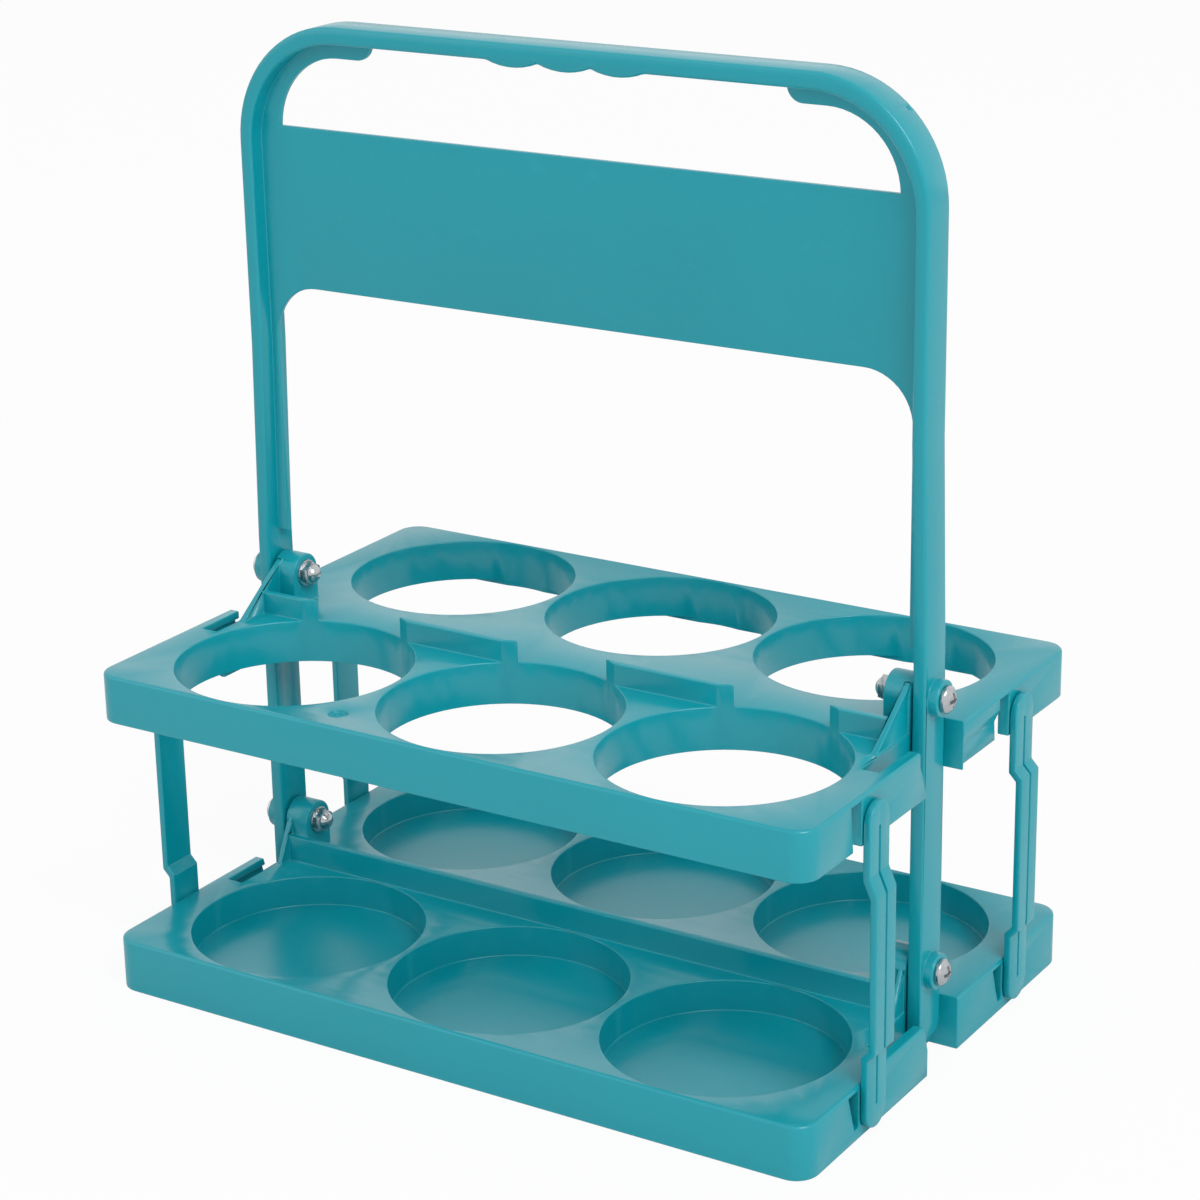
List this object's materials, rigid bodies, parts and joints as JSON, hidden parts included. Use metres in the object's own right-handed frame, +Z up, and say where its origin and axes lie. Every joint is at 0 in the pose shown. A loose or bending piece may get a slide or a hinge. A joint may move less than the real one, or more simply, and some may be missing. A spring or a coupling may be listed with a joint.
{
  "type": "bottle carrier",
  "caption": "Folding plastic bottle carrier: a cupped tray and a holed top frame held apart by a panelled handle and side links, pivoting on steel screws.",
  "frame": {"origin": "centre of the tray's footprint, on the surface it stands on", "axes": "+X along the carrier's length towards the right end, -Y towards the front, +Z up"},
  "size_m": [0.3014, 0.197, 0.3442],
  "materials": {
    "teal_plastic": "moulded polypropylene, soft gloss",
    "zinc_steel": "bright zinc plate"
  },
  "bodies": {
    "tray": {"bottom_tray": "teal_plastic", "screw_lower_right": "zinc_steel", "screw_lower_left": "zinc_steel", "washer_lower_right": "zinc_steel", "washer_lower_left": "zinc_steel", "nut_lower_right": "zinc_steel", "nut_lower_left": "zinc_steel"},
    "handle": {"carry_handle": "teal_plastic"},
    "frame": {"top_frame": "teal_plastic", "screw_upper_right": "zinc_steel", "screw_upper_left": "zinc_steel", "washer_upper_right": "zinc_steel", "washer_upper_left": "zinc_steel", "nut_upper_right": "zinc_steel", "nut_upper_left": "zinc_steel"},
    "link_front_right": {"link_front_right": "teal_plastic"},
    "link_rear_right": {"link_rear_right": "teal_plastic"},
    "link_front_left": {"link_front_left": "teal_plastic"},
    "link_rear_left": {"link_rear_left": "teal_plastic"}
  },
  "joints": [
    {"name": "handle_fold", "type": "hinge", "parent": "tray", "child": "handle", "pos_m": [0, 0, 0.035], "axis": [-1, 0, 0], "range_deg": [-8, 60]},
    {"name": "frame_fold", "type": "hinge", "parent": "handle", "child": "frame", "pos_m": [0, 0, 0.136], "axis": [-1, 0, 0], "range_deg": [-60, 8]},
    {"name": "link_front_right_swing", "type": "hinge", "parent": "tray", "child": "link_front_right", "pos_m": [0.1465, -0.055, 0.0108], "axis": [-1, 0, 0], "range_deg": [-8, 60]},
    {"name": "link_rear_right_swing", "type": "hinge", "parent": "tray", "child": "link_rear_right", "pos_m": [0.1465, 0.055, 0.0108], "axis": [-1, 0, 0], "range_deg": [-8, 60]},
    {"name": "link_front_left_swing", "type": "hinge", "parent": "tray", "child": "link_front_left", "pos_m": [-0.1465, -0.055, 0.0108], "axis": [-1, 0, 0], "range_deg": [-8, 60]},
    {"name": "link_rear_left_swing", "type": "hinge", "parent": "tray", "child": "link_rear_left", "pos_m": [-0.1465, 0.055, 0.0108], "axis": [-1, 0, 0], "range_deg": [-8, 60]}
  ],
  "couplings": [
    {"joint": "frame_fold", "follows": "handle_fold", "ratio": -1},
    {"joint": "link_front_right_swing", "follows": "handle_fold", "ratio": 1},
    {"joint": "link_rear_right_swing", "follows": "handle_fold", "ratio": 1},
    {"joint": "link_front_left_swing", "follows": "handle_fold", "ratio": 1},
    {"joint": "link_rear_left_swing", "follows": "handle_fold", "ratio": 1}
  ]
}
